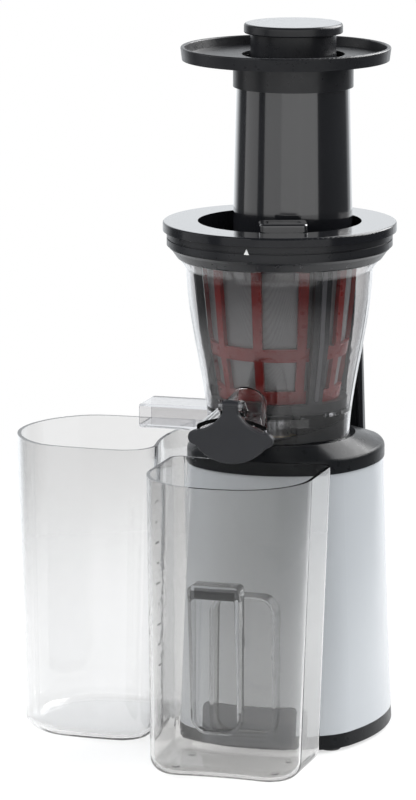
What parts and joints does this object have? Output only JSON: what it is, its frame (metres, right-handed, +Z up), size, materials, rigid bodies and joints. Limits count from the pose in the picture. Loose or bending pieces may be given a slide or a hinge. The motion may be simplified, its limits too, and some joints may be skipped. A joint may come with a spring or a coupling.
{
  "type": "cold press juicer",
  "caption": "Upright masticating juicer: motor base with rear arm, clear bowl with strainer and auger, lid with feed tube and tray, juice jug in front and pulp container at the side.",
  "frame": {"origin": "on the drive axis of the auger, at the level of the surface the juicer stands on", "axes": "+Z up along the drive axis, -Y towards the juice jug and spout (front), +Y towards the rear arm, -X towards the pulp container"},
  "size_m": [0.2334, 0.2432, 0.4382],
  "materials": {
    "white_shell": "satin",
    "black_gloss": "gloss",
    "black_satin": "satin",
    "grey_matte": "matte",
    "panel_grey": "gloss",
    "black_rubber": "matte",
    "clear_bowl": "clear, slightly smoked",
    "clear_jug": "clear",
    "clear_bin": "clear",
    "black_lid": "satin",
    "red_frame": "translucent red, gloss",
    "steel_mesh": "perforated",
    "auger_black": "satin",
    "steel": "machined",
    "motor_iron": "laminated",
    "brass": "machined",
    "gear_nylon": "satin",
    "wiper_dark": "satin",
    "silicone": "matte"
  },
  "bodies": {
    "base": {"motor_housing": "white_shell", "front_panel": "panel_grey", "base_plate": "black_satin", "feet": "black_rubber", "base_screws": "steel", "switch_bezel": "black_satin", "cord_gland": "black_rubber", "motor_bracket": "steel", "motor_stator": "motor_iron", "gearbox_case": "black_satin", "gearbox_cover": "black_satin", "layshaft_pin": "steel", "rear_arm": "black_gloss", "arm_cover": "black_satin", "deck": "black_satin", "deck_bush": "brass"},
    "rotor": {"motor_rotor": "motor_iron", "cooling_fan": "gear_nylon", "motor_pinion": "steel"},
    "layshaft": {"layshaft_gear": "gear_nylon"},
    "drive": {"drive_shaft": "steel", "output_gear": "gear_nylon"},
    "rocker": {"power_rocker": "black_gloss"},
    "bowl": {"bowl": "clear_bowl", "bowl_band": "black_lid", "bowl_seal": "silicone", "juice_spout": "clear_bowl", "pulp_chute": "clear_bowl", "strainer_frame": "red_frame", "strainer_mesh": "steel_mesh", "idler_pin": "steel", "flap_pin": "steel"},
    "auger": {"auger": "auger_black"},
    "idler": {"idler_gear": "gear_nylon"},
    "wiper": {"wiper_cage": "wiper_dark", "wiper_blades": "silicone"},
    "flap": {"spout_flap": "grey_matte"},
    "lid": {"lid": "black_gloss", "lid_seal": "silicone", "feed_tube": "black_gloss"},
    "tray": {"feed_tray": "black_lid"},
    "pusher": {"pusher_body": "black_lid", "pusher_cap": "black_lid"},
    "jug": {"juice_jug": "clear_jug"},
    "pulp": {"pulp_container": "clear_bin"}
  },
  "joints": [
    {"name": "rotor_spin", "type": "hinge", "parent": "base", "child": "rotor", "pos_m": [0, 0, 0.065], "axis": [0, 0, 1], "continuous": true},
    {"name": "layshaft_spin", "type": "hinge", "parent": "base", "child": "layshaft", "pos_m": [0, 0.036, 0.13], "axis": [0, 0, 1], "continuous": true},
    {"name": "drive_spin", "type": "hinge", "parent": "base", "child": "drive", "pos_m": [0, 0, 0.15], "axis": [0, 0, 1], "continuous": true},
    {"name": "rocker_tilt", "type": "hinge", "parent": "base", "child": "rocker", "pos_m": [0, 0.08259, 0.0513], "axis": [1, 0, 0], "range_deg": [0, 16]},
    {"name": "bowl_lift", "type": "slide", "parent": "base", "child": "bowl", "axis": [0, 0, 1], "range_m": [0, 0.08]},
    {"name": "auger_spin", "type": "hinge", "parent": "bowl", "child": "auger", "pos_m": [0, 0, 0.25], "axis": [0, 0, 1], "continuous": true},
    {"name": "idler_spin", "type": "hinge", "parent": "bowl", "child": "idler", "pos_m": [0.01323, 0.0182, 0.208], "axis": [0, 0, 1], "continuous": true},
    {"name": "wiper_spin", "type": "hinge", "parent": "bowl", "child": "wiper", "pos_m": [0, 0, 0.25], "axis": [0, 0, 1], "continuous": true},
    {"name": "flap_hinge", "type": "hinge", "parent": "bowl", "child": "flap", "pos_m": [-0.0065, -0.081, 0.2185], "axis": [-1, 0, 0], "range_deg": [0, 70]},
    {"name": "lid_lift", "type": "slide", "parent": "bowl", "child": "lid", "axis": [0, 0, 1], "range_m": [0, 0.06]},
    {"name": "tray_lift", "type": "slide", "parent": "lid", "child": "tray", "axis": [0, 0, 1], "range_m": [0, 0.03]},
    {"name": "pusher_lift", "type": "slide", "parent": "lid", "child": "pusher", "axis": [0, 0, 1], "range_m": [0, 0.1]},
    {"name": "jug_slide", "type": "slide", "parent": "base", "child": "jug", "axis": [0, -1, 0], "range_m": [0, 0.12]},
    {"name": "pulp_slide", "type": "slide", "parent": "base", "child": "pulp", "axis": [-1, 0, 0], "range_m": [0, 0.11]}
  ],
  "couplings": [
    {"joint": "layshaft_spin", "follows": "rotor_spin", "ratio": -0.2},
    {"joint": "drive_spin", "follows": "rotor_spin", "ratio": 0.04},
    {"joint": "auger_spin", "follows": "rotor_spin", "ratio": 0.04},
    {"joint": "idler_spin", "follows": "rotor_spin", "ratio": -0.05},
    {"joint": "wiper_spin", "follows": "rotor_spin", "ratio": -0.015385}
  ]
}
